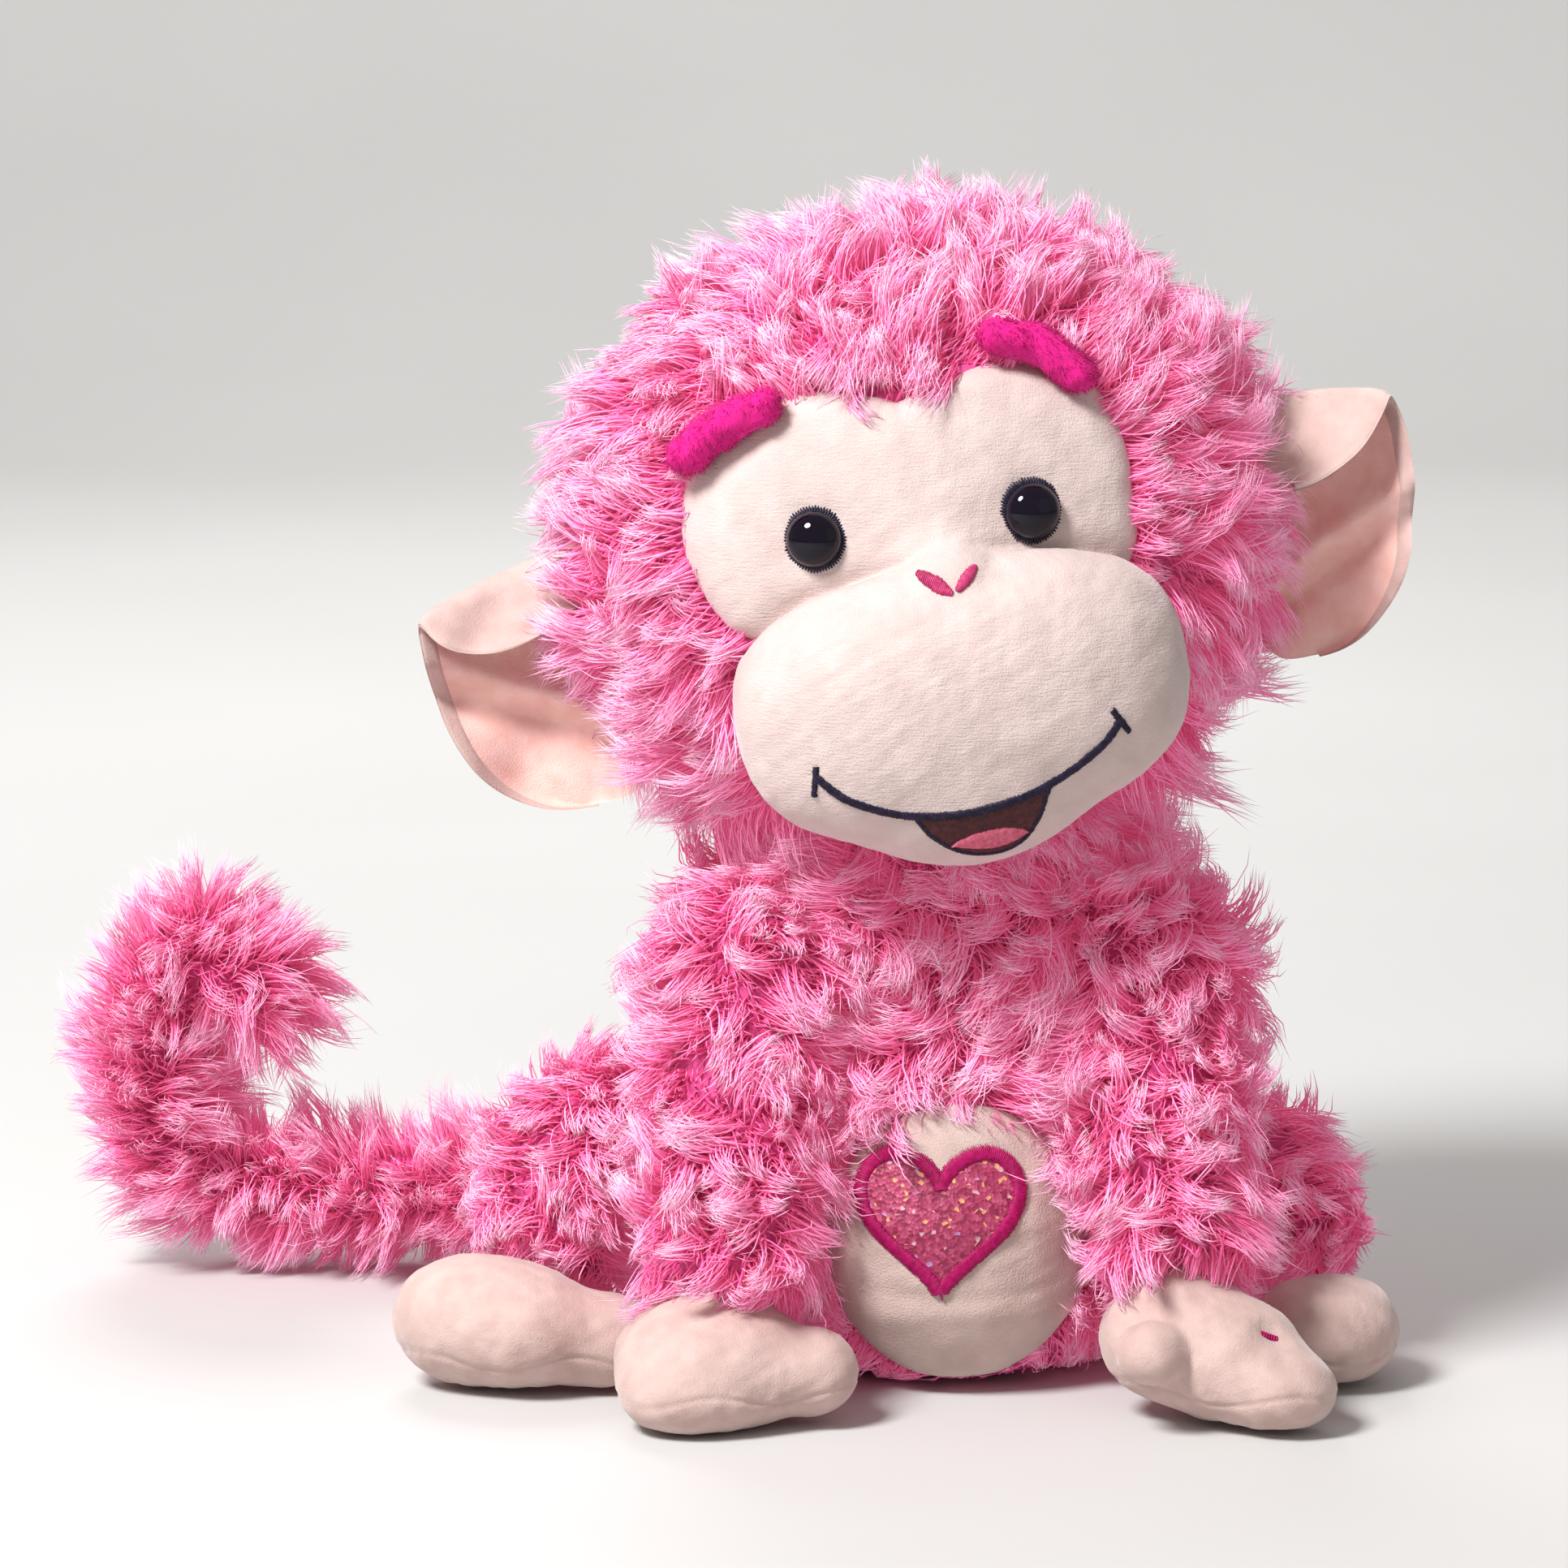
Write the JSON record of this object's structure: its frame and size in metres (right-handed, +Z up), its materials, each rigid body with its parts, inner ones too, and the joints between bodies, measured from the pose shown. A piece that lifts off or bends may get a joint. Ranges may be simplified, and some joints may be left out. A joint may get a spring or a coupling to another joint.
{
  "type": "stuffed monkey",
  "caption": "Seated plush monkey with long curly fur, a smooth face with a wide muzzle, a heart on its belly, and a curling tail; head, ears, limbs and tail move.",
  "frame": {"origin": "on the ground, 3 mm off the middle of the flat seat the toy rests on", "axes": "+Z up out of the seat, -Y the way the body faces, +X towards the viewer's right"},
  "size_m": [0.3085, 0.1739, 0.2579],
  "materials": {
    "long_pile_plush": "long shiny curled pile, about 12 mm",
    "belly_plush": "soft cream plush, about 3 mm pile",
    "short_pile_plush": "velvety cream plush, about 1 mm pile",
    "ear_lining": "velvety peach plush",
    "brow_velvet": "magenta velvet",
    "pink_thread": "satin-stitched embroidery thread",
    "dark_thread": "dark navy embroidery thread",
    "mouth_thread": "dark maroon embroidery thread",
    "tongue_thread": "pink embroidery thread",
    "glitter_fabric": "rose fabric with glitter flakes",
    "eye_plastic": "glossy black",
    "washer_plastic": "white",
    "pellet_cloth": "thin white cloth filled with plastic pellets",
    "stuffing_fibre": "white polyester fibre"
  },
  "bodies": {
    "body": {"body_cover": "long_pile_plush", "body_stuffing": "stuffing_fibre", "pellet_bag": "pellet_cloth", "belly_patch": "belly_plush", "heart_fill": "glitter_fabric", "heart_border": "pink_thread"},
    "neck": {"neck_stuffing": "stuffing_fibre"},
    "neck_sleeve": {"neck_sleeve": "long_pile_plush"},
    "head": {"head_cover": "long_pile_plush", "head_stuffing": "stuffing_fibre", "face_patch": "short_pile_plush", "muzzle_cover": "short_pile_plush", "muzzle_stuffing": "stuffing_fibre", "mouth_line": "dark_thread", "mouth_fill": "mouth_thread", "tongue": "tongue_thread", "eye_left": "eye_plastic", "eye_right": "eye_plastic", "eye_backing_left": "dark_thread", "eye_backing_right": "dark_thread", "eye_washer_left": "washer_plastic", "eye_washer_right": "washer_plastic", "brow_left": "brow_velvet", "brow_right": "brow_velvet", "nostril_left": "pink_thread", "nostril_right": "pink_thread"},
    "ear_left": {"ear_back_left": "short_pile_plush", "ear_front_left": "ear_lining"},
    "arm_left": {"arm_left_cover": "long_pile_plush", "arm_left_stuffing": "stuffing_fibre"},
    "hand_left": {"hand_left_cover": "short_pile_plush", "hand_left_stuffing": "stuffing_fibre"},
    "leg_left": {"leg_left_cover": "long_pile_plush", "leg_left_stuffing": "stuffing_fibre"},
    "foot_left": {"foot_left_cover": "short_pile_plush", "foot_left_stuffing": "stuffing_fibre"},
    "ear_right": {"ear_back_right": "short_pile_plush", "ear_front_right": "ear_lining"},
    "arm_right": {"arm_right_cover": "long_pile_plush", "arm_right_stuffing": "stuffing_fibre"},
    "hand_right": {"hand_right_cover": "short_pile_plush", "hand_right_stuffing": "stuffing_fibre", "hand_tack_right": "pink_thread"},
    "leg_right": {"leg_right_cover": "long_pile_plush", "leg_right_stuffing": "stuffing_fibre"},
    "foot_right": {"foot_right_cover": "short_pile_plush", "foot_right_stuffing": "stuffing_fibre"},
    "tail_base": {"tail_base_cover": "long_pile_plush", "tail_base_stuffing": "stuffing_fibre"},
    "tail_middle": {"tail_middle_cover": "long_pile_plush", "tail_middle_stuffing": "stuffing_fibre"},
    "tail_rise": {"tail_rise_cover": "long_pile_plush", "tail_rise_stuffing": "stuffing_fibre"},
    "tail_tip": {"tail_tip_cover": "long_pile_plush", "tail_tip_stuffing": "stuffing_fibre"}
  },
  "joints": [
    {"name": "neck_turn", "type": "hinge", "parent": "body", "child": "neck", "pos_m": [-0.002, 0.002, 0.116], "axis": [0, 0, 1], "range_deg": [-35, 35]},
    {"name": "neck_nod", "type": "hinge", "parent": "neck", "child": "neck_sleeve", "pos_m": [-0.002, 0.002, 0.116], "axis": [1, 0, 0], "range_deg": [-15, 12]},
    {"name": "neck_tilt", "type": "hinge", "parent": "neck_sleeve", "child": "head", "pos_m": [-0.002, 0.002, 0.116], "axis": [0, 1, 0], "range_deg": [-4, 26]},
    {"name": "ear_left_fold", "type": "hinge", "parent": "head", "child": "ear_left", "pos_m": [-0.08576, -0.00902, 0.1547], "axis": [-0.1905, -0.01, 0.9816], "range_deg": [-25, 25]},
    {"name": "ear_right_fold", "type": "hinge", "parent": "head", "child": "ear_right", "pos_m": [0.075, -0.0006, 0.18599], "axis": [0.1905, 0.01, -0.9816], "range_deg": [-25, 25]},
    {"name": "shoulder_left", "type": "hinge", "parent": "body", "child": "arm_left", "pos_m": [-0.046, -0.024, 0.086], "axis": [-1, 0, 0], "range_deg": [0, 50]},
    {"name": "wrist_left", "type": "hinge", "parent": "arm_left", "child": "hand_left", "pos_m": [-0.052, -0.064, 0.026], "axis": [-1, 0, 0], "range_deg": [-15, 20]},
    {"name": "hip_left", "type": "hinge", "parent": "body", "child": "leg_left", "pos_m": [-0.056, 0.014, 0.034], "axis": [-1, 0, 0], "range_deg": [-35, 35]},
    {"name": "ankle_left", "type": "hinge", "parent": "leg_left", "child": "foot_left", "pos_m": [-0.093, -0.016, 0.024], "axis": [-1, 0, 0], "range_deg": [-15, 20]},
    {"name": "shoulder_right", "type": "hinge", "parent": "body", "child": "arm_right", "pos_m": [0.041, -0.024, 0.086], "axis": [-1, 0, 0], "range_deg": [0, 50]},
    {"name": "wrist_right", "type": "hinge", "parent": "arm_right", "child": "hand_right", "pos_m": [0.047, -0.064, 0.026], "axis": [-1, 0, 0], "range_deg": [-15, 20]},
    {"name": "hip_right", "type": "hinge", "parent": "body", "child": "leg_right", "pos_m": [0.052, 0.016, 0.034], "axis": [-1, 0, 0], "range_deg": [-35, 35]},
    {"name": "ankle_right", "type": "hinge", "parent": "leg_right", "child": "foot_right", "pos_m": [0.079, -0.01, 0.024], "axis": [-1, 0, 0], "range_deg": [-15, 20]},
    {"name": "tail_swing", "type": "hinge", "parent": "body", "child": "tail_base", "pos_m": [-0.022, 0.052, 0.024], "axis": [0, 0, 1], "range_deg": [-25, 18]},
    {"name": "tail_bend", "type": "hinge", "parent": "tail_base", "child": "tail_middle", "pos_m": [-0.076, 0.075, 0.019], "axis": [0, 0, -1], "range_deg": [-20, 20]},
    {"name": "tail_curl", "type": "hinge", "parent": "tail_middle", "child": "tail_rise", "pos_m": [-0.154, 0.077, 0.019], "axis": [0, 1, 0], "range_deg": [-25, 15]},
    {"name": "tail_tip_curl", "type": "hinge", "parent": "tail_rise", "child": "tail_tip", "pos_m": [-0.186, 0.076, 0.047], "axis": [0, 1, 0], "range_deg": [-17.5, 10.5]}
  ],
  "couplings": [
    {"joint": "tail_tip_curl", "follows": "tail_curl", "ratio": 0.7}
  ]
}
